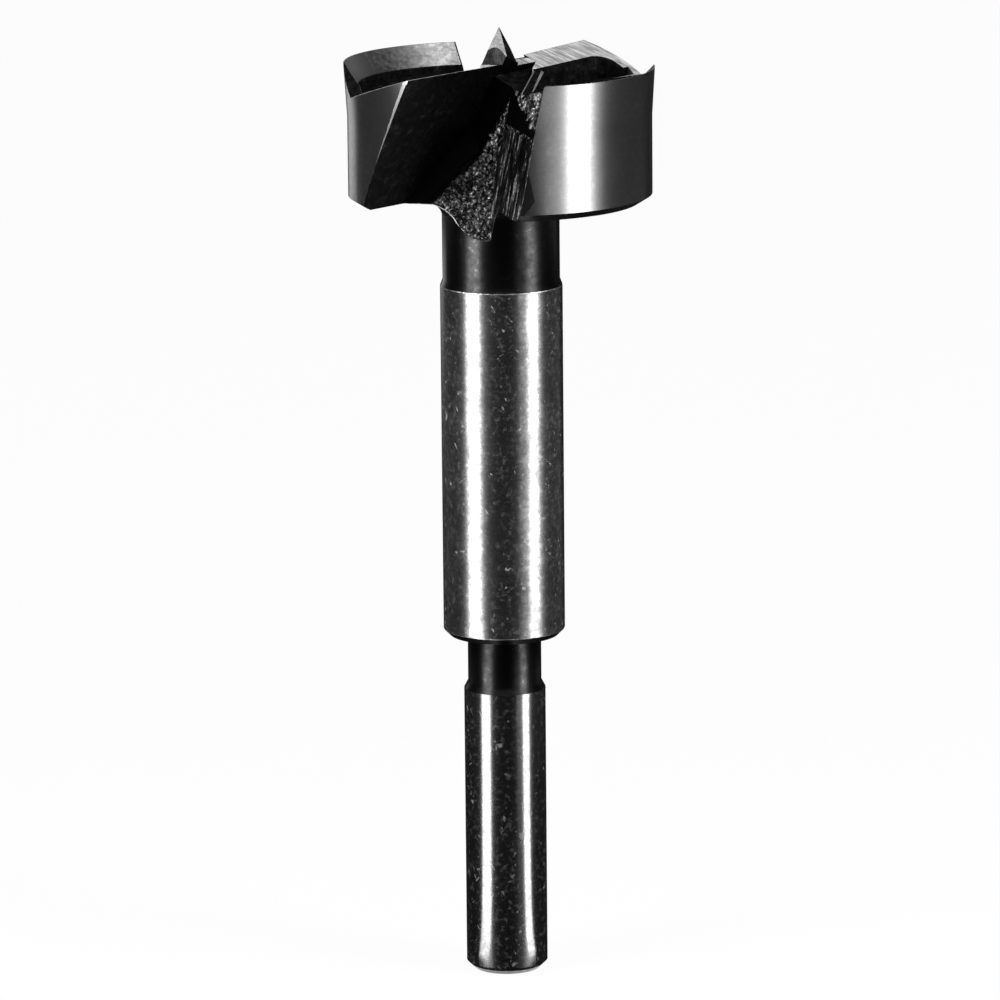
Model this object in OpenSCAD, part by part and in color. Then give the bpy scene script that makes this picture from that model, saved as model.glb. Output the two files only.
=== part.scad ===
// Boring bit with two rim cutters, two lips and a centre point, on a round shank.
// The shank end is at z = 0, the bit stands along +Z, and lip one runs along +X.
// It cuts counter-clockwise as seen from the point.

/* [Shank] */
// Diameter held in the drill chuck
shank_d = 8; // [7.5:0.25:9]
// Height at which the shank starts to narrow into the waist
shank_top = 28.4; // [26:0.2:30]
// Chamfer on the free end of the shank
end_chamfer = 0.75; // [0.5:0.05:1]

/* [Waist] */
// Turned waist between shank and body
waist_d = 7.2; // [6.8:0.1:7.4]
// Height of the cone from shank to waist
waist_cone = 0.75; // [0.5:0.05:1]
// Fillet where the waist meets the underside of the body
waist_fillet = 0.6; // [0.4:0.1:0.8]

/* [Body] */
// Ground body above the waist
body_d = 11.9; // [11.5:0.1:12.5]
// Height of the underside of the body
body_low = 33.8; // [33:0.2:35]
// Height of the upper end of the ground body
body_top = 68.4; // [66:0.2:70]
// Chamfer under the body
body_chamfer = 0.62; // [0.4:0.02:0.8]

/* [Neck] */
// Turned neck between body and head
neck_d = 11.4; // [10.8:0.1:11.4]
// Height of the cone from body to neck
neck_cone = 0.65; // [0.4:0.05:1]
// Fillet under the head
neck_fillet = 1.6; // [1:0.1:2]

/* [Head] */
// Bore that the rim cutters leave
head_d = 30; // [28:0.5:32]
// Diameter of the head below the flare of the rim
back_d = 29.4; // [27.4:0.1:31.4]
// Height of the flat underside of the head
head_low = 76.6; // [76:0.2:78]
// Height of the lips next to the centre point
lip_z = 90; // [89:0.5:91]
// Depth over which the outside flares to the bore size
flare = 5; // [4:0.5:6]
// Width of the chamfer under the head
back_chamfer_w = 1.2; // [0.8:0.1:1.4]
// Height of the chamfer under the head
back_chamfer_h = 0.75; // [0.5:0.05:1]

/* [Lips] */
// Distance of each lip ahead of the centre line
lip_ahead = 0.92; // [0.7:0.02:1.1]
// Rake of the face under each lip, in degrees
rake = 29; // [26:0.5:31]
// Relief behind each lip, in degrees
relief = 16; // [14:0.5:18]
// Width of the ground land behind each lip
land = 3; // [2.6:0.1:3.2]
// How much higher lip two ends at the rim
lip_two_rise = 0.5; // [0:0.05:0.6]

/* [Rim cutters] */
// Inner radius of each rim cutter
rim_in = 13.6; // [13.3:0.1:13.8]
// Height of rim cutter one above the lips
rim_one_up = 0.25; // [0:0.05:0.4]
// Depth of rim cutter two below the lips
rim_two_down = 0.4; // [0:0.05:0.5]
// Height of the bevel inside the rim
rim_bevel = 2.1; // [1.8:0.05:2.4]
// Width of the flat left on the cutting edge of the rim
rim_edge = 0.07; // [0.05:0.01:0.1]
// Slope of the leading end of each rim cutter, in degrees
rim_lead = 35.8; // [32:0.2:40]
// Depth of the closed pocket inside each rim cutter, next to the land
pocket = 2.8; // [2.4:0.1:3.2]
// Rise of the floor of pocket one towards the trailing end, in degrees
floor_one_rise = 1; // [0.5:0.25:2]
// Rise of the floor of pocket two towards the trailing end, in degrees
floor_two_rise = 10; // [8:0.5:11]
// Radius of the pocket corner where land and rim meet
pocket_round = 1.6; // [1.2:0.1:2]
// Width of the crest between pocket and gash
crest_w = 0.95; // [0.8:0.05:1.2]
// Step from the land down to the crest
crest_drop = 0.15; // [0.1:0.05:0.2]

/* [Chip throats] */
// Direction of the trailing wall of each throat, in degrees
wall_dir = 51.6; // [49:0.2:53]
// Lean of the trailing wall, in degrees
wall_lean = 10.8; // [9:0.2:12]
// Direction that the steep upper root of each throat faces, in degrees
root_dir = -10; // [-12:1:-8]
// Lean of the steep upper root, in degrees
root_lean = 6.8; // [6:0.1:8]
// Direction that the run-out of the root faces, in degrees
runout_dir = 22; // [20:1:24]
// Lean of the run-out into the neck, in degrees
runout_lean = 29.2; // [28.8:0.1:29.6]
// Direction of the gash beside the centre point, in degrees
gash_dir = 29.5; // [28:0.5:31]
// Distance of the gash wall from the axis
gash_out = 3; // [2.8:0.05:3.2]
// Direction in which the gash floor falls, in degrees
gash_floor_dir = 80; // [78:1:82]
// Fall of the gash floor towards the throat, in degrees
gash_fall = 15.4; // [15:0.2:15.8]
// Distance behind the axis at which the gash floor reaches lip height
gash_start = 3.8; // [3.7:0.1:3.9]

/* [Centre point] */
// Height of the point above the lips
point_h = 3.5; // [3:0.1:4]
// Half angle of two opposite faces of the point, in degrees
point_half = 21.8; // [20:0.2:23]
// Turn of the square point about the axis, in degrees
point_turn = 22; // [18:1:26]
// Radius of the wheel that hollows the foot of the point
point_hollow = 2.2; // [2:0.1:2.4]

/* [Hidden] */
$fn = 96;
// Half size of the blocks that stand for half spaces
far = 45;
shank_r = shank_d / 2;
waist_r = waist_d / 2;
body_r = body_d / 2;
neck_r = neck_d / 2;
head_r = head_d / 2;
back_r = back_d / 2;
// Height left above the lips until lips and rim are ground
spare = 0.8;
// Rise of each lip from axis to rim, height of each rim cutter and rise of each floor, by wing
lip_rise = [0, lip_two_rise];
rim_z = [lip_z + rim_one_up, lip_z - rim_two_down];
floor_rise = [floor_one_rise, floor_two_rise];
// Direction and offset of the leading end of each rim cutter
lead_dir = 47;
lead_back = 1.83;
// Reach of the pocket cutters below and above the lips
pocket_reach = 6;
// Where the bevel of the rim starts behind the lip
bevel_from = 5.5;
// Worn corner of rim cutter two: direction, offset and slope of its face
worn_dir = -35;
worn_back = 0.7;
worn_slope = 1.6;
// Where the worn corner starts, and the direction and offset of its side
worn_from = 8;
worn_side_dir = 70;
worn_side = 12;
// Offsets of the trailing wall, the upper root and the run-out from the axis
wall_back = 0.88;
root_out = 0.9;
runout_back = 3.5;
// How deep the foot of the point is sunk into the head
point_sunk = 1.2;
// Thickness left between the axis and the hollow of the point
hollow_out = 0.78;
// Direction of the hollow and its depth below the lips
hollow_dir = point_turn - 3.5;
hollow_low = 0.05;
// Overlaps that keep neighbouring cuts from sharing a face
lap = 0.02;
hair = 0.001;
// How far a fillet reaches into the steel
bite = 0.3;
// Share of a fillet radius by which its arc is drawn back from tangency
draw_back = 0.96;

// Everything past a plane that faces angle a, stands d from the axis at lip height
// and moves out by k for each millimetre below it
module beyond(a, d, k = 0) {
    translate([0, 0, lip_z])
        rotate([0, 0, a])
            translate([d, 0, 0])
                rotate([0, -atan(k), 0])
                    translate([0, -far, -far])
                        cube([far, 2 * far, 2 * far]);
}

// Filling of an inside corner at (r, z), opening outward and up or down
module corner_fill(r, z, size, up) {
    translate([r, z])
        difference() {
            translate([-bite, up > 0 ? -bite : -size])
                square([size + bite, size + bite]);
            translate([size, up * size])
                circle(r = size / draw_back);
        }
}

// Turned outline from shank end to the top of the head
module blank_outline() {
    polygon([
        [0, 0],
        [shank_r - end_chamfer, 0],
        [shank_r, end_chamfer],
        [shank_r, shank_top],
        [waist_r, shank_top + waist_cone],
        [waist_r, body_low],
        [body_r - body_chamfer, body_low],
        [body_r, body_low + body_chamfer],
        [body_r, body_top],
        [neck_r, body_top + neck_cone],
        [neck_r, head_low],
        [back_r - back_chamfer_w, head_low],
        [back_r, head_low + back_chamfer_h],
        [back_r, lip_z - flare],
        [head_r, lip_z],
        [head_r, lip_z + spare],
        [0, lip_z + spare]
    ]);
    corner_fill(waist_r, body_low, waist_fillet, -1);
    corner_fill(neck_r, head_low, neck_fillet, -1);
}

// Everything above the ground plane behind the lip, which may rise towards the rim
module above_land(rise, drop = 0) {
    slope = rise / head_r;
    aside = atan(slope / tan(relief));
    translate([0, 0, -drop])
        beyond(-90 - aside, -lip_ahead * cos(aside), cos(aside) / tan(relief));
}

// Land behind the lip, out through the notch ahead of the rim cutter
module land_cut(rise) {
    intersection() {
        above_land(rise);
        beyond(lead_dir, -lead_back, 1 / tan(rim_lead));
        beyond(0, 0);
    }
}

// Everything inside the rim that lies behind the land
module inside_rim() {
    intersection() {
        beyond(-90, land - lip_ahead);
        translate([0, 0, lip_z])
            cylinder(r = rim_in, h = 2 * pocket_reach, center = true);
    }
}

// Inside of the rim with the corner between land and rim rounded
module round_inside_rim() {
    side = lip_ahead - land - pocket_round;
    along = sqrt(pow(rim_in - pocket_round, 2) - pow(side, 2));
    turn = atan2(side, along);
    corner = (90 + turn) / 2;
    reach = along * cos(corner) + side * sin(corner) + pocket_round * cos((90 - turn) / 2);
    intersection() {
        inside_rim();
        union() {
            beyond(corner + 180, -reach);
            translate([along, side, lip_z])
                cylinder(r = pocket_round / draw_back, h = 2 * pocket_reach, center = true);
        }
    }
}

// Crest between pocket and gash, a step below the land
module crest_cut() {
    intersection() {
        inside_rim();
        above_land(0, crest_drop);
        beyond(gash_dir + 90, -gash_out - crest_w);
    }
}

// Everything above the pocket floor, which rises to the trailing end
module above_floor(rise) {
    translate([0, 0, -pocket])
        beyond(90, lip_ahead - land, 1 / tan(rise));
}

// Pocket inside the rim cutter
module pocket_cut(rise) {
    intersection() {
        round_inside_rim();
        above_floor(rise);
        beyond(gash_dir - 90, gash_out + crest_w - lap / 2);
    }
}

// Top of the rim cutter, ground level
module rim_top_cut(top) {
    intersection() {
        beyond(-90, bevel_from);
        translate([-far, -far, top])
            cube([2 * far, 2 * far, far]);
    }
}

// Bevel that sharpens the rim from inside, down to the pocket floor at most
module bevel_cut(top, rise) {
    intersection() {
        beyond(-90, bevel_from);
        above_floor(rise);
        translate([0, 0, top - rim_bevel])
            difference() {
                cylinder(
                    r1 = rim_in - hair,
                    r2 = rim_in + 2 * (head_r - rim_edge - rim_in),
                    h = 2 * rim_bevel
                );
                translate([0, 0, -rim_bevel])
                    cylinder(r = rim_in - lap, h = 4 * rim_bevel);
            }
    }
}

// Worn corner at the trailing end of rim cutter two
module rim_end_cut() {
    intersection() {
        beyond(worn_dir, -worn_back, worn_slope);
        beyond(90, worn_from);
        beyond(worn_side_dir, worn_side);
    }
}

// Milled chip throat between the rake face, the root and the trailing wall
module throat_cut() {
    intersection() {
        beyond(90, lip_ahead, -tan(rake));
        beyond(wall_dir - 90, -wall_back, tan(wall_lean));
        beyond(root_dir, root_out, tan(root_lean));
        beyond(runout_dir, -runout_back, tan(runout_lean));
    }
}

// Gash that runs up from the throat between the point and the crest
module gash_cut() {
    intersection() {
        beyond(90, lip_ahead, -tan(rake));
        beyond(gash_dir - 90, -gash_out);
        beyond(gash_floor_dir, -gash_start, 1 / tan(gash_fall));
    }
}

// Hollow ground into the foot of the point, above the lip
module point_hollow_cut() {
    rotate([0, 0, hollow_dir])
        translate([point_hollow + hollow_out, 0, lip_z - hollow_low])
            cylinder(r = point_hollow, h = 2 * point_h);
}

// Triangular bar, two of which cross to make the square point
module point_bar() {
    tall = point_h + point_sunk;
    wide = tall * tan(point_half);
    rotate([90, 0, 0])
        linear_extrude(height = 4 * wide, center = true)
            polygon([[-wide, 0], [wide, 0], [0, tall]]);
}

// Square centre point, its foot sunk into the head
module centre_point() {
    translate([0, 0, lip_z - point_sunk])
        rotate([0, 0, point_turn])
            intersection() {
                point_bar();
                rotate([0, 0, 90])
                    point_bar();
            }
}

// The whole bit in one piece of steel
module boring_bit() {
    color("slategray")
        difference() {
            union() {
                difference() {
                    rotate_extrude()
                        blank_outline();
                    for (wing = [0, 1])
                        rotate([0, 0, 180 * wing]) {
                            land_cut(lip_rise[wing]);
                            crest_cut();
                            pocket_cut(floor_rise[wing]);
                            rim_top_cut(rim_z[wing]);
                            bevel_cut(rim_z[wing], floor_rise[wing]);
                        }
                    rim_end_cut();
                }
                centre_point();
            }
            for (turn = [0, 180])
                rotate([0, 0, turn]) {
                    throat_cut();
                    gash_cut();
                    point_hollow_cut();
                }
        }
}

boring_bit();
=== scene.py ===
import bpy, bmesh, math
from mathutils import Matrix, Vector


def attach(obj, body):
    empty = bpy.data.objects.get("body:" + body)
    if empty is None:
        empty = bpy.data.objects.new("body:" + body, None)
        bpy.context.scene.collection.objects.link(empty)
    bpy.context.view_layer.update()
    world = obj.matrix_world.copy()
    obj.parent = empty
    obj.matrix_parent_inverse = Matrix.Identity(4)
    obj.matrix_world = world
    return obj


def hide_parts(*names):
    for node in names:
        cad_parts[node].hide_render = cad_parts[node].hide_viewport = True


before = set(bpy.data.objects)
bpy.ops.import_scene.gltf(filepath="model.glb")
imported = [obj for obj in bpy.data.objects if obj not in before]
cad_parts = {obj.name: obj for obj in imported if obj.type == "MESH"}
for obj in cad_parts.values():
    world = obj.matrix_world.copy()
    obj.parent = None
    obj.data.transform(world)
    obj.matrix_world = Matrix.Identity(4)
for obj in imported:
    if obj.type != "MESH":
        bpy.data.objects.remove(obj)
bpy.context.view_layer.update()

scene = bpy.context.scene
scene.view_settings.view_transform = "Standard"
mm = 0.001

# camera, set to the viewing angle of the picture
shot = {
    "turn": 38.5,        # degrees from +X towards +Y at which the camera stands
    "away": 0.574,       # from the axis of the bit
    "height": 0.165,     # above the shank end
    "down": 11.61,       # degrees that it looks down
    "roll": 0.52,        # lean of the bit in the picture
    "pixels": 6004.0,    # focal length in pixels
    "aside": 3.2,        # pixels that the axis stands right of the middle
    "wide": 1000.0,      # pixels across the picture
    "sensor": 36.0,      # mm
}


def addCamera(s):
    camData = bpy.data.cameras.new("shotCamera")
    cam = bpy.data.objects.new("shotCamera", camData)
    scene.collection.objects.link(cam)
    turn, down, roll = math.radians(s["turn"]), math.radians(s["down"]), math.radians(s["roll"])
    out = Vector((math.cos(turn), math.sin(turn), 0))
    look = -out * math.cos(down) - Vector((0, 0, math.sin(down)))
    right = look.cross(Vector((0, 0, 1))).normalized()
    up = right.cross(look)
    leanRight = right * math.cos(roll) - up * math.sin(roll)
    leanUp = right * math.sin(roll) + up * math.cos(roll)
    place = Matrix((leanRight, leanUp, -look)).transposed().to_4x4()
    place.translation = out * s["away"] + Vector((0, 0, s["height"]))
    cam.matrix_world = place
    camData.sensor_width = s["sensor"]
    camData.lens = s["sensor"] * s["pixels"] / s["wide"]
    camData.shift_x = -s["aside"] / s["wide"]
    camData.clip_start, camData.clip_end = 0.01, 20.0
    scene.camera = cam


addCamera(shot)
print("camera set")

# sizes of the bit in mm, which its finishes use too
bit = {
    "shankTop": 28.4,      # heights above the shank end
    "bodyLow": 33.8,
    "bodyTop": 68.4,
    "headLow": 76.6,
    "lip": 90.0,
    "bodyChamfer": 0.5,    # black up to here above the low end of the body
    "backChamfer": 0.75,
    "runout": 3.5,         # the throats run out this far below the head
    "runoutLine": 1.7,     # their edge is rubbed bright down to here
    "hollowDeep": 0.5,     # below the lip: foot of the point, tops and bevels of the rim cutters
    "rimDeep": 0.8,
    "bevelDeep": 2.4,
    "pointOut": 2.5,       # radii
    "rimIn": 13.5,
    "headOut": 14.3,       # the ground outside of the head lies beyond this
    "lipAhead": 0.92,      # from the axis to the lip
    "relief": 16.0,        # of the land, in degrees
    "landSlack": 0.08,
    "rakeSlope": 0.554,    # of the rake face, aside for each mm of height
    "wallWay": (0.621, 0.784),    # direction of the trailing wall, seen from above
    "wallBack": 0.88,      # from the axis to the wall at the height of the lip
    "wallLean": 0.19,
    "wallSlope": 0.228,    # of the line under the coarse top of the wall
    "rootSlope": 1.6,      # of the line over the coarse root
    "alike": 0.99992,      # cosine above which two faces look the same way
    "corner": 32.0,        # degrees at which an edge is sharp
    "seam": 4.0,           # the same between two surfaces
    "wearing": 20.0,       # and at which it wears
    "shortest": 0.05,      # edge that is worn
    "edge": 0.035,         # width of worn edges
    "margin": 0.22,        # ground margin along a crest
    "rubbed": 0.05,        # thin bright line along a lip, the body's ends and a run-out
    "darkEnd": 0.16,         # dark trailing end of a rim cutter
}

# marks on the ground outside, heights and widths in mm
marks = {
    "fineFrom": 72.0,      # the grind gets finer between these heights
    "fineTo": 76.0,
    "foot": 76.5,          # no margin or flat below this
    "marginFoot": 77.5,    # the bare margin beside a rake face widens from here
    "marginGrowth": 0.05,
    "marginOver": 0.3,     # it may reach past the edge
    "fadeFrom": 78.5,      # and brightens between these heights
    "fadeTo": 88.5,
    "wander": 0.25,
    "shadeFoot": 76.7,      # painted shade: a dark patch low on a trailing corner, between these heights
    "shadeTop": 81.6,
    "shadeLower": 0.6,      # slopes of its two sides
    "shadeUpper": 0.4,
    "shadeOver": 0.5,
}

# materials, all on object coordinates in metres


def makeMaterial(name, metal=0.0):
    mat = bpy.data.materials.new(name)
    mat.use_nodes = True
    shader = mat.node_tree.nodes["Principled BSDF"]
    shader.inputs["Metallic"].default_value = metal
    return mat, mat.node_tree, shader


def addNode(tree, kind, **settings):
    node = tree.nodes.new(kind)
    for key, value in settings.items():
        if key in node.inputs:
            node.inputs[key].default_value = value
        else:
            setattr(node, key, value)
    return node


def scaledPlace(tree, scale):
    coord = addNode(tree, "ShaderNodeTexCoord")
    stretch = addNode(tree, "ShaderNodeMapping")
    stretch.inputs["Scale"].default_value = scale
    tree.links.new(coord.outputs["Object"], stretch.inputs["Vector"])
    return stretch.outputs["Vector"]


def addNoise(tree, grain, detail=3.0, rough=0.6, along=1.0, lean=0.0):
    # grain is the size of a blotch in mm, along stretches it on Z, lean tips it over
    coord = addNode(tree, "ShaderNodeTexCoord")
    fit = addNode(tree, "ShaderNodeMapping", vector_type="TEXTURE")
    fit.inputs["Scale"].default_value = (grain * mm, grain * mm, grain * along * mm)
    fit.inputs["Rotation"].default_value = (lean, 0, 0)
    tree.links.new(coord.outputs["Object"], fit.inputs["Vector"])
    noise = addNode(tree, "ShaderNodeTexNoise", Scale=1.0, Detail=detail, Roughness=rough)
    tree.links.new(fit.outputs["Vector"], noise.inputs["Vector"])
    return noise.outputs["Fac"]


def addRange(tree, value, low, high, toLow, toHigh):
    span = addNode(tree, "ShaderNodeMapRange", clamp=True)
    for key, number in (("From Min", low), ("From Max", high), ("To Min", toLow), ("To Max", toHigh)):
        span.inputs[key].default_value = number
    tree.links.new(value, span.inputs["Value"])
    return span.outputs["Result"]


def addMath(tree, how, first, second=None):
    node = addNode(tree, "ShaderNodeMath", operation=how)
    for socket, value in zip(node.inputs, (first, second)):
        if isinstance(value, (int, float)):
            socket.default_value = value
        elif value is not None:
            tree.links.new(value, socket)
    return node.outputs[0]


def plus(tree, first, second):
    return addMath(tree, "ADD", first, second)


def minus(tree, first, second):
    return addMath(tree, "SUBTRACT", first, second)


def times(tree, first, second):
    return addMath(tree, "MULTIPLY", first, second)


def addGreys(tree, value, stops):
    ramp = addNode(tree, "ShaderNodeValToRGB")
    points = ramp.color_ramp.elements
    while len(points) < len(stops):
        points.new(0.5)
    for point, (at, grey) in zip(points, stops):
        point.position = at
        point.color = (grey, grey, grey, 1)
    tree.links.new(value, ramp.inputs["Fac"])
    return ramp.outputs["Color"]


def addBump(tree, shader, height, depth, strength=1.0):
    bump = addNode(tree, "ShaderNodeBump", Strength=strength, Distance=depth * mm)
    tree.links.new(height, bump.inputs["Height"])
    tree.links.new(bump.outputs["Normal"], shader.inputs["Normal"])


def coatWith(tree, shader, mark, greys, rough, relief):
    # one noise gives the colour, the roughness and the relief
    tree.links.new(addGreys(tree, mark, greys), shader.inputs["Base Color"])
    tree.links.new(addRange(tree, mark, 0.3, 0.7, *rough), shader.inputs["Roughness"])
    addBump(tree, shader, mark, *relief)


def turnedTangent(tree, shader, spread):
    # ground round the axis, so a light stretches along it
    tangent = addNode(tree, "ShaderNodeTangent", direction_type="RADIAL", axis="Z")
    tree.links.new(tangent.outputs["Tangent"], shader.inputs["Tangent"])
    shader.inputs["Anisotropic"].default_value = spread
    shader.inputs["Anisotropic Rotation"].default_value = 0.25    # a quarter turn


def axisPlaces(tree):
    # x, y and z of the point in mm
    split = addNode(tree, "ShaderNodeSeparateXYZ")
    tree.links.new(scaledPlace(tree, (1 / mm, 1 / mm, 1 / mm)), split.inputs[0])
    return split.outputs[0], split.outputs[1], split.outputs[2]


def addSpecks(tree, size, rarity, cluster, stretch=1.0, lean=0.0):
    # 1 inside ragged specks that keep together in loose clusters, 0 elsewhere
    ragged = addNoise(tree, size, 2.0, 0.55, stretch, lean)
    speck = addRange(tree, ragged, rarity, rarity + 0.06, 0.0, 1.0)
    crowd = addRange(tree, addNoise(tree, cluster, 2.0, 0.5), 0.48, 0.58, 0.0, 1.0)
    return times(tree, speck, crowd)


def headMarks(tree, m):
    # where the bare margin beside each rake face is, and the dark patch of painted shade low on one
    # wall
    x, y, z = axisPlaces(tree)
    below = minus(tree, bit["lip"], z)
    ahead = times(tree, y, addMath(tree, "SIGN", x))
    rake = minus(tree, bit["lipAhead"], times(tree, below, bit["rakeSlope"]))
    ragged = times(tree, addNoise(tree, 0.5, 4.0, 0.7), m["wander"])
    behindRake = plus(tree, minus(tree, rake, ahead), ragged)
    width = times(tree, minus(tree, z, m["marginFoot"]), m["marginGrowth"])
    margin = addMath(tree, "LESS_THAN", behindRake, width)
    margin = times(tree, margin, addMath(tree, "GREATER_THAN", behindRake, -m["marginOver"]))
    fading = plus(tree, addRange(tree, z, m["fadeFrom"], m["fadeTo"], 0.12, 0.8), ragged)
    margin = times(tree, margin, fading)
    # flat below marks a patch of painted shade on the outside, low beside one trailing wall
    alongX, alongY = bit["wallWay"]
    across = minus(tree, times(tree, y, alongX), times(tree, x, alongY))
    wall = minus(tree, times(tree, below, bit["wallLean"]), bit["wallBack"])
    behindWall = plus(tree, across, wall)
    upper = times(tree, minus(tree, m["shadeTop"], z), m["shadeUpper"])
    lower = times(tree, minus(tree, z, m["shadeFoot"]), m["shadeLower"])
    flat = addMath(tree, "LESS_THAN", behindWall, addMath(tree, "MINIMUM", upper, lower))
    flat = times(tree, flat, addMath(tree, "GREATER_THAN", behindWall, -m["shadeOver"]))
    flat = times(tree, flat, addMath(tree, "GREATER_THAN", y, 0.0))
    onHead = addMath(tree, "GREATER_THAN", z, m["foot"])
    return times(tree, margin, onHead), times(tree, flat, onHead)


def groundSteel(name, dull, smooth, nickGrey, mottle):
    # turned and ground, mottled all over, with small nicks and scratches below the head
    mat, tree, shader = makeMaterial(name)
    blotch = addNoise(tree, 0.6, 4.0, 0.75)
    patch = addNoise(tree, 3.0, 3.0, 0.6)
    lines = addNoise(tree, 2.6, 3.0, 0.7, 0.05)
    mixed = plus(tree, times(tree, blotch, 0.75), times(tree, patch, 0.35))
    mixed = plus(tree, mixed, times(tree, lines, 0.15))
    middle = 0.61    # mean of that sum
    onHead = addRange(tree, axisPlaces(tree)[2], marks["fineFrom"], marks["fineTo"], 0.0, 1.0)
    calm = times(tree, minus(tree, middle, mixed), times(tree, onHead, 0.68))
    mixed = plus(tree, mixed, calm)
    mixed = plus(tree, times(tree, minus(tree, mixed, middle), mottle), middle)
    greys = addGreys(tree, mixed, ((0.53, 0.14), (0.62, 0.22), (0.72, 0.42)))
    nicks = addRange(tree, addNoise(tree, 0.5, 2.0, 0.5), 0.54, 0.78, 0.0, 0.3)    # faint stains
    for speck in (
        addSpecks(tree, 0.8, 0.65, 3.0),
        addSpecks(tree, 0.4, 0.66, 4.5, 4.0, 0.6),
        addSpecks(tree, 0.5, 0.67, 3.5, 3.0, -0.9),
    ):
        nicks = addMath(tree, "MAXIMUM", nicks, speck)
    nicks = times(tree, nicks, minus(tree, 1.0, onHead))
    margin, flat = headMarks(tree, marks)
    # nicks and margin are bare steel; flat is the dark patch of painted shade
    for where, grey in ((nicks, nickGrey), (margin, 0.5), (flat, 0.07)):
        patched = addNode(tree, "ShaderNodeMix", data_type="RGBA")
        tree.links.new(where, patched.inputs[0])
        tree.links.new(greys, patched.inputs[6])
        patched.inputs[7].default_value = (grey, grey, grey, 1)
        greys = patched.outputs[2]
    tree.links.new(greys, shader.inputs["Base Color"])
    bare = addMath(tree, "MAXIMUM", nicks, margin)
    tree.links.new(addRange(tree, bare, 0.0, 1.0, 1.0, 0.5), shader.inputs["Metallic"])
    tree.links.new(addRange(tree, blotch, 0.3, 0.7, dull, smooth), shader.inputs["Roughness"])
    turnedTangent(tree, shader, 0.8)
    addBump(tree, shader, minus(tree, mixed, nicks), 0.004, 0.4)
    return mat


def turnedBlack():
    mat, tree, shader = makeMaterial("turnedBlack", 1.0)
    greys = ((0.3, 0.012), (0.62, 0.028), (0.75, 0.07))
    coatWith(tree, shader, addNoise(tree, 0.9, 4.0, 0.65), greys, (0.36, 0.26), (0.01, 0.5))
    turnedTangent(tree, shader, 0.6)
    return mat


def blackFace():
    mat, tree, shader = makeMaterial("blackFace", 1.0)
    greys = ((0.40, 0.010), (0.58, 0.030), (0.72, 0.14))
    coatWith(tree, shader, addNoise(tree, 0.8, 5.0, 0.75), greys, (0.5, 0.36), (0.012, 0.5))
    return mat


def sootyPocket():
    # oxide without a sheen, black at every angle
    mat, tree, shader = makeMaterial("sootyPocket")
    shader.inputs["Specular IOR Level"].default_value = 0.0
    greys = ((0.42, 0.004), (0.62, 0.012), (0.74, 0.05))
    coatWith(tree, shader, addNoise(tree, 0.8, 4.0, 0.65), greys, (0.7, 0.5), (0.03, 0.6))
    return mat


def roughRoot():
    # forged root of the throat: smooth beside the rake face, coarse beside the wall
    mat, tree, shader = makeMaterial("roughRoot", 1.0)
    x, y, z = axisPlaces(tree)
    ahead = times(tree, y, addMath(tree, "SIGN", x))
    edge = minus(tree, z, times(tree, ahead, bit["rootSlope"]))
    ragged = plus(tree, edge, times(tree, addNoise(tree, 1.0, 3.0), 2.0))
    coarse = addRange(tree, ragged, 84.8, 83.4, 0.0, 1.0)    # heights on the axis
    lumps = times(tree, addNoise(tree, 0.36, 2.5, 0.7), coarse)
    greys = ((0.42, 0.010), (0.56, 0.06), (0.68, 0.42))
    tree.links.new(addGreys(tree, lumps, greys), shader.inputs["Base Color"])
    shader.inputs["Roughness"].default_value = 0.36
    addBump(tree, shader, lumps, 0.25, 1.0)
    return mat


def milledWall():
    # trailing wall: coarse at the outer top, smooth below that, scored under a small ledge
    mat, tree, shader = makeMaterial("milledWall")
    x, y, z = axisPlaces(tree)
    alongX, alongY = bit["wallWay"]
    along = plus(tree, times(tree, x, alongX), times(tree, y, alongY))
    line = plus(tree, z, times(tree, addMath(tree, "ABSOLUTE", along), bit["wallSlope"]))
    coarse = addRange(tree, line, 88.0, 88.8, 0.0, 1.0)    # heights on the axis
    lumps = times(tree, addNoise(tree, 0.42, 2.5, 0.7), coarse)
    ledgeAt = 84.4
    crumbs = addNoise(tree, 0.3, 2.0, 0.6)
    scored = addRange(tree, z, ledgeAt + 0.2, ledgeAt - 0.2, 0.0, 1.0)
    broken = times(tree, scored, addRange(tree, crumbs, 0.3, 0.7, 0.85, 1.12))
    strands = times(tree, addNoise(tree, 0.85, 2.0, 0.6, 7.0), broken)
    ledge = addMath(tree, "COMPARE", z, ledgeAt)
    ledge.node.inputs[2].default_value = 0.14    # half its height
    ledge = times(tree, ledge, addRange(tree, crumbs, 0.46, 0.62, 0.0, 0.68))
    relief = addMath(tree, "MAXIMUM", addMath(tree, "MAXIMUM", lumps, strands), ledge)
    greys = ((0.44, 0.010), (0.58, 0.05), (0.70, 0.36))
    tree.links.new(addGreys(tree, relief, greys), shader.inputs["Base Color"])
    tree.links.new(addRange(tree, relief, 0.5, 0.65, 1.0, 0.4), shader.inputs["Metallic"])
    shader.inputs["Roughness"].default_value = 0.38
    addBump(tree, shader, relief, 0.2, 1.0)
    return mat


def groundLand():
    # ground with a coarse wheel, which leaves streaks square to the lip
    mat, tree, shader = makeMaterial("groundLand", 1.0)
    streaks = addNode(tree, "ShaderNodeTexNoise", Scale=1.0, Detail=3.0, Roughness=0.65)
    tree.links.new(scaledPlace(tree, (2600, 420, 420)), streaks.inputs["Vector"])
    greys = ((0.34, 0.13), (0.5, 0.38), (0.66, 0.68))
    coatWith(tree, shader, streaks.outputs["Fac"], greys, (0.42, 0.3), (0.012, 0.5))
    return mat


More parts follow.
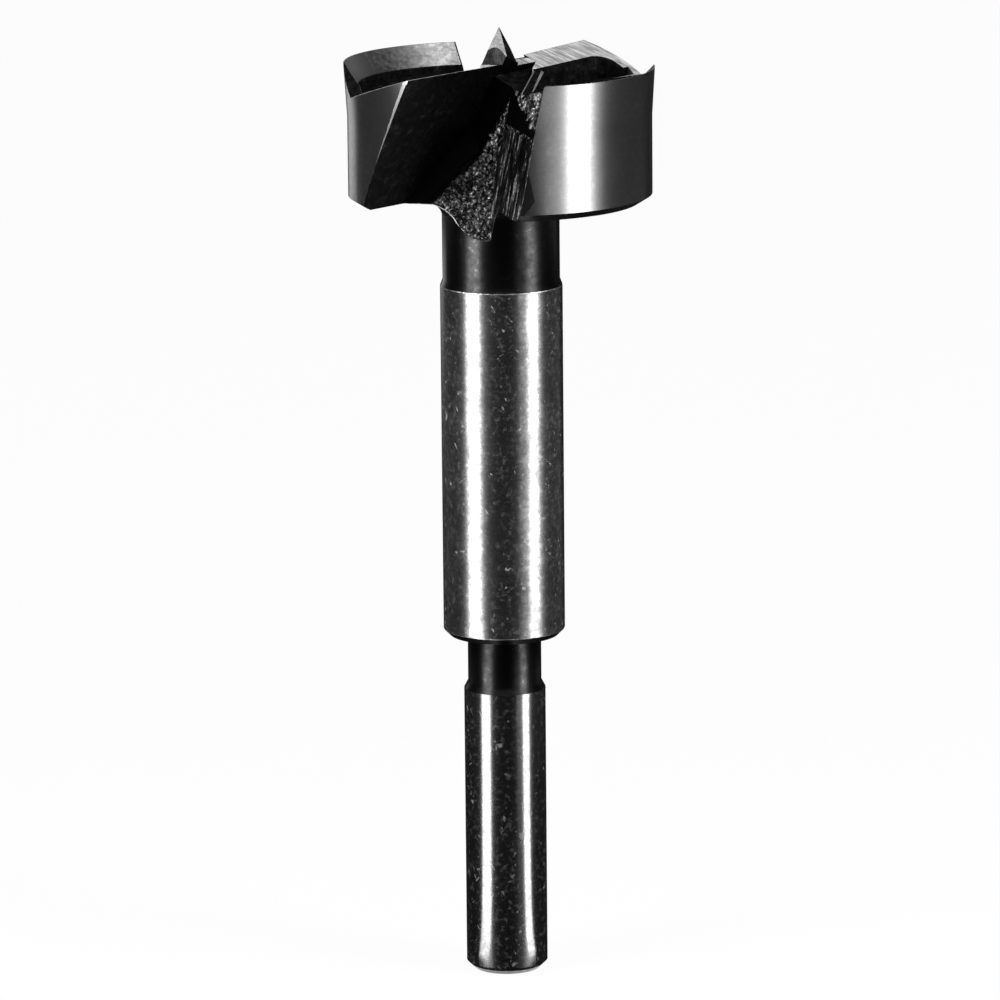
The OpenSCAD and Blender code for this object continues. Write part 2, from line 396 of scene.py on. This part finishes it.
def groundBevel():
    # one end of each bevel is darker than the other
    mat, tree, shader = makeMaterial("groundBevel", 1.0)
    x, y = axisPlaces(tree)[:2]
    forward = times(tree, x, addMath(tree, "SIGN", y))
    endShift = addRange(tree, forward, -6.0, 9.0, -0.30, 0.06)
    grinding = addRange(tree, addNoise(tree, 0.7, 4.0, 0.7, 0.6), 0.25, 0.75, 0.38, 0.62)
    greys = ((0.30, 0.03), (0.5, 0.13), (0.68, 0.30))
    coatWith(tree, shader, plus(tree, grinding, endShift), greys, (0.42, 0.28), (0.012, 0.5))
    return mat


def pointSteel():
    mat, tree, shader = makeMaterial("pointSteel", 1.0)
    greys = ((0.35, 0.16), (0.65, 0.30))
    coatWith(tree, shader, addNoise(tree, 0.4, 3.0, 0.6, 0.5), greys, (0.4, 0.3), (0.01, 0.5))
    return mat


def pointHollow():
    # left by a coarse wheel, duller than the facets
    mat, tree, shader = makeMaterial("pointHollow", 0.5)
    greys = ((0.35, 0.006), (0.65, 0.045))
    coatWith(tree, shader, addNoise(tree, 0.3, 3.0, 0.7, 2.0), greys, (0.65, 0.5), (0.02, 0.6))
    return mat


def wornEdge(name, greys):
    mat, tree, shader = makeMaterial(name, 1.0)
    coatWith(tree, shader, addNoise(tree, 0.9, 5.0, 0.75), greys, (0.5, 0.35), (0.02, 0.6))
    return mat


def forgedGrain():
    # darker where the root runs out
    mat, tree, shader = makeMaterial("forgedGrain", 1.0)
    # darker towards the bottom, from 81 mm down to 75 mm
    darkerLow = addRange(tree, axisPlaces(tree)[2], 75.0, 81.0, -0.09, 0.0)
    patch = times(tree, addNoise(tree, 1.8, 2.0, 0.6), 0.6)
    mark = plus(tree, times(tree, addNoise(tree, 0.5, 3.0, 0.7), 0.5), patch)
    greys = ((0.44, 0.012), (0.56, 0.11), (0.68, 0.42))
    coatWith(tree, shader, plus(tree, mark, darkerLow), greys, (0.62, 0.48), (0.02, 0.6))
    return mat


finishes = {
    "ground": groundSteel("groundSteel", 0.36, 0.28, 0.36, 0.6),
    "shank": groundSteel("groundShank", 0.26, 0.20, 0.22, 0.4),
    "black": turnedBlack(),
    "face": blackFace(),
    "root": roughRoot(),
    "wall": milledWall(),
    "pocket": sootyPocket(),
    "land": groundLand(),
    "bevel": groundBevel(),
    "point": pointSteel(),
    "hollow": pointHollow(),
    "edge": wornEdge("wornEdge", ((0.42, 0.006), (0.54, 0.03), (0.66, 0.12))),
    "margin": wornEdge("groundMargin", ((0.36, 0.25), (0.52, 0.5), (0.66, 0.8))),
    "rubbed": wornEdge("rubbedEdge", ((0.36, 0.10), (0.52, 0.3), (0.66, 0.6))),
    # near-black strip on the trailing end of each rim cutter
    "darkEnd": wornEdge("darkEndStrip", ((0.42, 0.004), (0.54, 0.012), (0.66, 0.04))),
    "grain": forgedGrain(),
}
order = list(finishes)
print("materials made", len(finishes))

# the bit itself, from the solid of the frame


def facing(angle, climb):
    turn = math.radians(angle)
    return Vector((math.cos(turn), math.sin(turn), climb)).normalized()


def tan(degrees):
    return math.tan(math.radians(degrees))


# planes that were cut into the head, by the way they face on wing and throat one
cutFaces = (
    ("rake", facing(90, -tan(29)), "face"),
    ("wall", facing(-38.4, tan(10.8)), "wall"),
    ("root", facing(-10, tan(6.8)), "root"),
    ("runout", facing(22, tan(29.2)), "root"),
    ("gash", facing(80, 1 / tan(15.4)), "pocket"),
    ("crest side", facing(-60.5, 0), "pocket"),
    ("land", facing(-90, 1 / tan(bit["relief"])), "land"),
    ("land two", facing(-96.6, 1 / tan(16.1)), "land"),
    ("rim lead", facing(47, 1 / tan(35.8)), "pocket"),
    ("pocket one", facing(90, 1 / tan(1)), "pocket"),
    ("pocket two", facing(90, 1 / tan(10)), "pocket"),
    ("tip", facing(22, tan(21.8)), "point"),
    ("tip side", facing(112, tan(21.8)), "pocket"),
)


def kindOf(face):
    # name of the surface that a face belongs to, and its finish
    centre = face.calc_center_median() / mm
    normal = face.normal
    out = math.hypot(centre.x, centre.y)
    if centre.z > bit["headLow"] - bit["runout"]:
        outward = (normal.x * centre.x + normal.y * centre.y) / max(out, 0.1)
        if out > bit["headOut"] and outward > 0.9:
            return "outside", "ground"
        for side in (1, -1):
            turned = Vector((side * normal.x, side * normal.y, normal.z))
            for name, plane, finish in cutFaces:
                if turned.dot(plane) > bit["alike"]:
                    behind = bit["lipAhead"] - side * centre.y
                    lowest = bit["lip"] - tan(bit["relief"]) * behind - bit["landSlack"]
                    if finish == "land" and centre.z < lowest:
                        return "crest", "pocket"
                    return name + str(side), finish
        if centre.z > bit["lip"] - bit["hollowDeep"] and out < bit["pointOut"]:
            return "hollow", "hollow"
        inward = out > bit["rimIn"] and outward < 0
        if centre.z > bit["lip"] - bit["bevelDeep"] and inward and normal.z > 0.3:
            return "bevel", "bevel"
        if centre.z > bit["lip"] - bit["rimDeep"] and normal.z > 0.9:
            return "rim top", "land"
        if centre.z < bit["headLow"] + bit["backChamfer"]:
            return "turned", "black"
        return "inside", "pocket"
    if bit["bodyLow"] + bit["bodyChamfer"] < centre.z < bit["bodyTop"]:
        return "body", "ground"
    if centre.z < bit["shankTop"]:
        return "shank", "shank"
    return "turned", "black"


def bodyForm():
    # one closed form with whole faces again, out of the loose triangles of the solid
    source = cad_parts["boring_bit"]
    mesh = source.data.copy()
    mesh.transform(source.matrix_world)
    form = bmesh.new()
    form.from_mesh(mesh)
    bpy.data.meshes.remove(mesh)
    bmesh.ops.remove_doubles(form, verts=form.verts, dist=0.002 * mm)
    bmesh.ops.dissolve_limit(form, angle_limit=math.radians(0.4), verts=form.verts, edges=form.edges)
    form.normal_update()
    return form


def edgeFinish(edge, first, second):
    # how the edge between two surfaces is worn, or None
    angle = edge.calc_face_angle_signed(0.0)
    foot = min(v.co.z for v in edge.verts) / mm
    pair = {first[:4], second[:4]}
    least = bit["seam"] if pair == {"runo", "turn"} else bit["wearing"]
    if edge.smooth or angle <= math.radians(least) or edge.calc_length() <= bit["shortest"] * mm:
        return None
    if pair == {"wall", "beve"}:
        return "darkEnd"
    if pair in ({"cres"}, {"cres", "insi"}):
        return "margin"
    if pair in ({"rake", "land"}, {"land", "outs"}, {"body", "turn"}):
        return "rubbed"
    if pair == {"runo", "turn"} and foot > bit["headLow"] - bit["runoutLine"]:
        return "rubbed"
    high = foot > bit["headLow"] - bit["runout"]
    if high and pair != {"outs", "turn"} and not pair & {"tip1", "tip-", "tip ", "holl"}:
        return "edge"
    return None


def buildBit():
    form = bodyForm()
    kinds = {}
    for face in form.faces:
        kinds[face], finish = kindOf(face)
        face.material_index = order.index(finish)
        face.smooth = True
    worn = {"darkEnd": [], "margin": [], "rubbed": [], "edge": []}
    corner, seam = math.radians(bit["corner"]), math.radians(bit["seam"])
    for edge in form.edges:
        if len(edge.link_faces) != 2:
            continue
        first, second = (kinds[face] for face in edge.link_faces)
        angle = abs(edge.calc_face_angle_signed(0.0))
        edge.smooth = not (angle > corner or (first != second and angle > seam))
        finish = edgeFinish(edge, first, second)
        if finish:
            worn[finish].append(edge)
    for finish, edges in worn.items():
        alive = [edge for edge in edges if edge.is_valid]
        bmesh.ops.bevel(
            form, geom=alive, offset=bit[finish] * mm, offset_type="OFFSET", segments=1, profile=0.5,
            affect="EDGES", clamp_overlap=False, material=order.index(finish),
        )
        print("edges worn", finish, len(alive))
    for face in form.faces:
        if order[face.material_index] in worn:
            for edge in face.edges:
                edge.smooth = False
    return addPiece("bit", form)


def addPiece(name, form):
    mesh = bpy.data.meshes.new(name)
    form.to_mesh(mesh)
    form.free()
    for mat in finishes.values():
        mesh.materials.append(mat)
    piece = bpy.data.objects.new(name, mesh)
    scene.collection.objects.link(piece)
    return piece


piece = buildBit()
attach(piece, "root")
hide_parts("boring_bit")
print("bit dressed", len(piece.data.polygons), "faces")

# grains of the forged skin, on the root and the outer top of each trailing wall
grain = {
    "perArea": 3.6e6,      # grains for each square metre
    "small": 0.10,         # radius in mm
    "large": 0.38,
    "flat": 0.5,           # height of a grain beside its radius
    "tilt": 0.5,           # in radians, at most
    "spin": 6.28,
    "dent": 0.4,           # depth in mm
    "dentScale": 4000.0,
    "seed": 7,
    "rootEdge": 83.1,      # height at which the coarse root starts on the axis
    "wallEdge": 88.35,     # the same for the wall
    "wallTop": 87.3,       # none on the end of the rim
    "inset": 0.87,         # the bed ends short of the edges around it
}


def cutOff(part, height, way, **side):
    # drop what lies on one side of a plane through the axis at this height
    whole = list(part.verts) + list(part.edges) + list(part.faces)
    bmesh.ops.bisect_plane(part, geom=whole, plane_co=(0, 0, height * mm), plane_no=way, **side)


def grainBed(g):
    form = bodyForm()
    kinds = {face: kindOf(face)[0] for face in form.faces}
    bed = bmesh.new()
    alongX, alongY = bit["wallWay"]
    for side in (1, -1):
        rootWay = Vector((0, -side * bit["rootSlope"], 1))
        wallWay = Vector((side * alongX * bit["wallSlope"], side * alongY * bit["wallSlope"], 1))
        for names in (("root", "runout"), ("wall",)):
            part = bmesh.new()
            for face in form.faces:
                if kinds[face] in [name + str(side) for name in names]:
                    part.faces.new([part.verts.new(v.co) for v in face.verts])
            if "root" in names:
                cutOff(part, g["rootEdge"], rootWay, clear_outer=True)
            else:
                cutOff(part, g["wallEdge"], wallWay, clear_inner=True)
                if side < 0:
                    cutOff(part, g["wallTop"], (0, 0, 1), clear_outer=True)
            middle = sum((v.co for v in part.verts), Vector()) / max(1, len(part.verts))
            for v in part.verts:
                v.co = middle + (v.co - middle) * g["inset"]
            bmesh.ops.triangulate(part, faces=part.faces)
            for face in part.faces:
                bed.faces.new([bed.verts.new(v.co) for v in face.verts])
            part.free()
    form.free()
    return bed


def grainTree(g):
    tree = bpy.data.node_groups.new("grains", "GeometryNodeTree")
    addSocket = tree.interface.new_socket
    addSocket("Geometry", in_out="INPUT", socket_type="NodeSocketGeometry")
    addSocket("Geometry", in_out="OUTPUT", socket_type="NodeSocketGeometry")
    for name in ("Per area", "Small", "Large", "Flat"):
        addSocket(name, in_out="INPUT", socket_type="NodeSocketFloat")
    addSocket("Seed", in_out="INPUT", socket_type="NodeSocketInt")
    start = addNode(tree, "NodeGroupInput")
    end = addNode(tree, "NodeGroupOutput")
    strew = addNode(tree, "GeometryNodeDistributePointsOnFaces")
    lump = addNode(tree, "GeometryNodeMeshIcoSphere", Radius=1.0, Subdivisions=2)
    wide = addNode(tree, "FunctionNodeRandomValue", data_type="FLOAT", Seed=1)
    deep = addNode(tree, "FunctionNodeRandomValue", data_type="FLOAT", Seed=2)
    size = addNode(tree, "ShaderNodeCombineXYZ")
    spin = addNode(tree, "FunctionNodeRandomValue", data_type="FLOAT_VECTOR", Seed=3)
    spin.inputs["Max"].default_value = (g["tilt"], g["tilt"], g["spin"])
    place = addNode(tree, "GeometryNodeInstanceOnPoints")
    turn = addNode(tree, "GeometryNodeRotateInstances")
    whole = addNode(tree, "GeometryNodeRealizeInstances")
    dent = addNode(tree, "ShaderNodeTexNoise", Scale=g["dentScale"], Detail=1.0)
    push = addNode(tree, "ShaderNodeVectorMath", operation="MULTIPLY_ADD")
    push.inputs[1].default_value = [g["dent"] * mm] * 3
    push.inputs[2].default_value = [-g["dent"] / 2 * mm] * 3
    shift = addNode(tree, "GeometryNodeSetPosition")
    soft = addNode(tree, "GeometryNodeSetShadeSmooth")
    coat = addNode(tree, "GeometryNodeSetMaterial", Material=finishes["grain"])
    link = tree.links.new
    link(start.outputs["Geometry"], strew.inputs["Mesh"])
    link(start.outputs["Per area"], strew.inputs["Density"])
    link(start.outputs["Seed"], strew.inputs["Seed"])
    for chance, socket in ((wide, 0), (deep, 1)):
        link(start.outputs["Small"], chance.inputs[2])
        link(start.outputs["Large"], chance.inputs[3])
        link(chance.outputs[1], size.inputs[socket])
    link(times(tree, wide.outputs[1], start.outputs["Flat"]), size.inputs[2])
    link(strew.outputs["Points"], place.inputs["Points"])
    link(strew.outputs["Rotation"], place.inputs["Rotation"])
    link(lump.outputs["Mesh"], place.inputs["Instance"])
    link(size.outputs[0], place.inputs["Scale"])
    link(place.outputs["Instances"], turn.inputs["Instances"])
    link(spin.outputs["Value"], turn.inputs["Rotation"])
    link(turn.outputs["Instances"], whole.inputs["Geometry"])
    link(dent.outputs["Color"], push.inputs[0])
    link(push.outputs[0], shift.inputs["Offset"])
    link(whole.outputs["Geometry"], shift.inputs["Geometry"])
    link(shift.outputs["Geometry"], soft.inputs["Geometry"])
    link(soft.outputs["Geometry"], coat.inputs["Geometry"])
    link(coat.outputs["Geometry"], end.inputs["Geometry"])
    return tree


def growGrains(g):
    bed = addPiece("grainBed", grainBed(g))
    tree = grainTree(g)
    grow = bed.modifiers.new("grains", "NODES")
    grow.node_group = tree
    values = {
        "Per area": g["perArea"], "Small": g["small"] * mm, "Large": g["large"] * mm,
        "Flat": g["flat"], "Seed": g["seed"],
    }
    for item in tree.interface.items_tree:
        if item.in_out == "INPUT" and item.name in values:
            grow[item.identifier] = values[item.name]
    made = bed.evaluated_get(bpy.context.evaluated_depsgraph_get())
    mesh = bpy.data.meshes.new_from_object(made)
    bpy.data.objects.remove(bed)
    grains = bpy.data.objects.new("grains", mesh)
    scene.collection.objects.link(grains)
    return grains


grains = growGrains(grain)
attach(grains, "root")
print("grains", len(grains.data.polygons), "faces")

# studio in metres: white floor and surround, two soft boxes and one overhead,
# and cards for the reflections: dark flags, a dark mat and a bright strip under each box
studio = {
    "floorReach": 3.0,
    "floorGrey": 0.85,
    "floorGlow": 0.95,      # share of plain white that the camera and reflections see
    "flagAway": 0.16,       # flags stand this far from the axis
    "flagStep": 4.0,        # degrees of a flag's facets
    "matGrey": 0.02,
    "matHigh": 0.0004,
    "matSides": 60,
    "footGlow": 5.0,        # of the strips on the floor that carry the boxes down to the bit
    "footStart": 0.008,
    "footHigh": 0.0006,
    "boxAway": 0.20,
    "boxTall": 0.22,
    "boxes": (              # degrees from the camera, width in degrees, share of the power
        (-55.5, 27.0, 1.0),
        (60.5, 19.5, 0.7),
    ),
    "boxPower": 0.58,
    "topBox": (70.0, 0.20, 0.33, 0.12, 0.28),    # degrees, away, height, size and power
    "flags": (              # from and to in degrees from the camera, foot, top, grey
        (-42.0, 32.0, 0.0005, 0.16, 0.025),
        (78.0, 140.0, 0.0005, 0.05, 0.18),
        (78.0, 140.0, 0.05, 0.15, 0.03),
        (140.0, 202.0, 0.0005, 0.11, 0.02),
        (-158.0, -136.0, 0.0005, 0.045, 0.02),
        (-136.0, -70.0, 0.0005, 0.05, 0.15),
        (-136.0, -70.0, 0.05, 0.15, 0.04),
    ),
    "ambient": 0.4,
}


def lightPathFactor(tree):
    # 1 for what the camera and reflections see, 0 for light that falls on the object
    path = addNode(tree, "ShaderNodeLightPath")
    seen = plus(tree, path.outputs["Is Camera Ray"], path.outputs["Is Glossy Ray"])
    return addMath(tree, "MINIMUM", plus(tree, seen, path.outputs["Is Transmission Ray"]), 1.0)


def whiteWorld(s):
    world = bpy.data.worlds.new("studioWorld")
    scene.world = world
    world.use_nodes = True
    tree = world.node_tree
    back = tree.nodes["Background"]
    back.inputs["Color"].default_value = (1, 1, 1, 1)
    seen = lightPathFactor(tree)
    tree.links.new(addRange(tree, seen, 0.0, 1.0, s["ambient"], 1.0), back.inputs["Strength"])


def whiteFloor(s):
    mesh = bpy.data.meshes.new("floor")
    reach = s["floorReach"]
    corners = [(-reach, -reach, 0), (reach, -reach, 0), (reach, reach, 0), (-reach, reach, 0)]
    mesh.from_pydata(corners, [], [(0, 1, 2, 3)])
    floor = bpy.data.objects.new("floor", mesh)
    scene.collection.objects.link(floor)
    mat, tree, shader = makeMaterial("whitePaper")
    shader.inputs["Base Color"].default_value = [s["floorGrey"]] * 3 + [1]
    shader.inputs["Roughness"].default_value = 0.9
    glow = addNode(tree, "ShaderNodeEmission", Strength=1.0)
    blend = addNode(tree, "ShaderNodeMixShader")
    tree.links.new(times(tree, lightPathFactor(tree), s["floorGlow"]), blend.inputs["Fac"])
    tree.links.new(shader.outputs["BSDF"], blend.inputs[1])
    tree.links.new(glow.outputs["Emission"], blend.inputs[2])
    tree.links.new(blend.outputs["Shader"], tree.nodes["Material Output"].inputs["Surface"])
    mesh.materials.append(mat)


def aroundCamera(degrees):
    turn = math.radians(shot["turn"] + degrees)
    return Vector((math.cos(turn), math.sin(turn), 0))


def softBox(s, degrees, width, share):
    lamp = bpy.data.lights.new("softBox", "AREA")
    lamp.shape = "RECTANGLE"
    lamp.size = 2 * s["boxAway"] * math.tan(math.radians(width / 2))
    lamp.size_y = s["boxTall"]
    lamp.energy = s["boxPower"] * share
    box = bpy.data.objects.new("softBox", lamp)
    scene.collection.objects.link(box)
    out = aroundCamera(degrees)
    up = Vector((0, 0, 1))
    place = Matrix((up.cross(out).normalized(), up, out)).transposed().to_4x4()
    place.translation = out * s["boxAway"] + up * s["boxTall"] / 2
    box.matrix_world = place
    box.visible_camera = False


def overheadBox(degrees, away, height, size, power):
    lamp = bpy.data.lights.new("overheadBox", "AREA")
    lamp.size = size
    lamp.energy = power
    box = bpy.data.objects.new("overheadBox", lamp)
    scene.collection.objects.link(box)
    place = aroundCamera(degrees) * away + Vector((0, 0, height))
    aim = place - Vector((0, 0, bit["lip"] * mm))
    box.location = place
    box.rotation_euler = aim.to_track_quat("Z", "Y").to_euler()
    box.visible_camera = False


def addCard(name, verts, faces, grey):
    # card that only reflections show
    mesh = bpy.data.meshes.new(name)
    mesh.from_pydata(verts, [], faces)
    mat, tree = makeMaterial(name)[:2]
    glow = addNode(tree, "ShaderNodeEmission", Strength=1.0)
    glow.inputs["Color"].default_value = (grey, grey, grey, 1)
    tree.links.new(glow.outputs["Emission"], tree.nodes["Material Output"].inputs["Surface"])
    mesh.materials.append(mat)
    card = bpy.data.objects.new(name, mesh)
    scene.collection.objects.link(card)
    card.visible_camera = False
    card.visible_diffuse = False
    card.visible_shadow = False


def darkFlag(s, start, end, foot, top, grey):
    steps = max(3, int((end - start) / s["flagStep"]))
    verts = []
    for step in range(steps + 1):
        out = aroundCamera(start + (end - start) * step / steps) * s["flagAway"]
        verts.append((out.x, out.y, foot))
        verts.append((out.x, out.y, top))
    faces = [(2 * i, 2 * i + 1, 2 * i + 3, 2 * i + 2) for i in range(steps)]
    addCard("flag", verts, faces, grey)


def darkMat(s):
    sides = range(s["matSides"])
    ring = [aroundCamera(360.0 / s["matSides"] * i) * s["flagAway"] for i in sides]
    addCard("mat", [(v.x, v.y, s["matHigh"]) for v in ring], [tuple(sides)], s["matGrey"])


def boxFoot(s, degrees, width):
    verts = []
    for turn in (degrees - width / 2, degrees + width / 2):
        for reach in (s["footStart"], s["boxAway"]):
            out = aroundCamera(turn) * reach
            verts.append((out.x, out.y, s["footHigh"]))
    addCard("boxFoot", verts, [(0, 1, 3, 2)], s["footGlow"])


whiteWorld(studio)
whiteFloor(studio)
for degrees, width, share in studio["boxes"]:
    softBox(studio, degrees, width, share)
    boxFoot(studio, degrees, width)
overheadBox(*studio["topBox"])
for flag in studio["flags"]:
    darkFlag(studio, *flag)
darkMat(studio)
print("studio set")
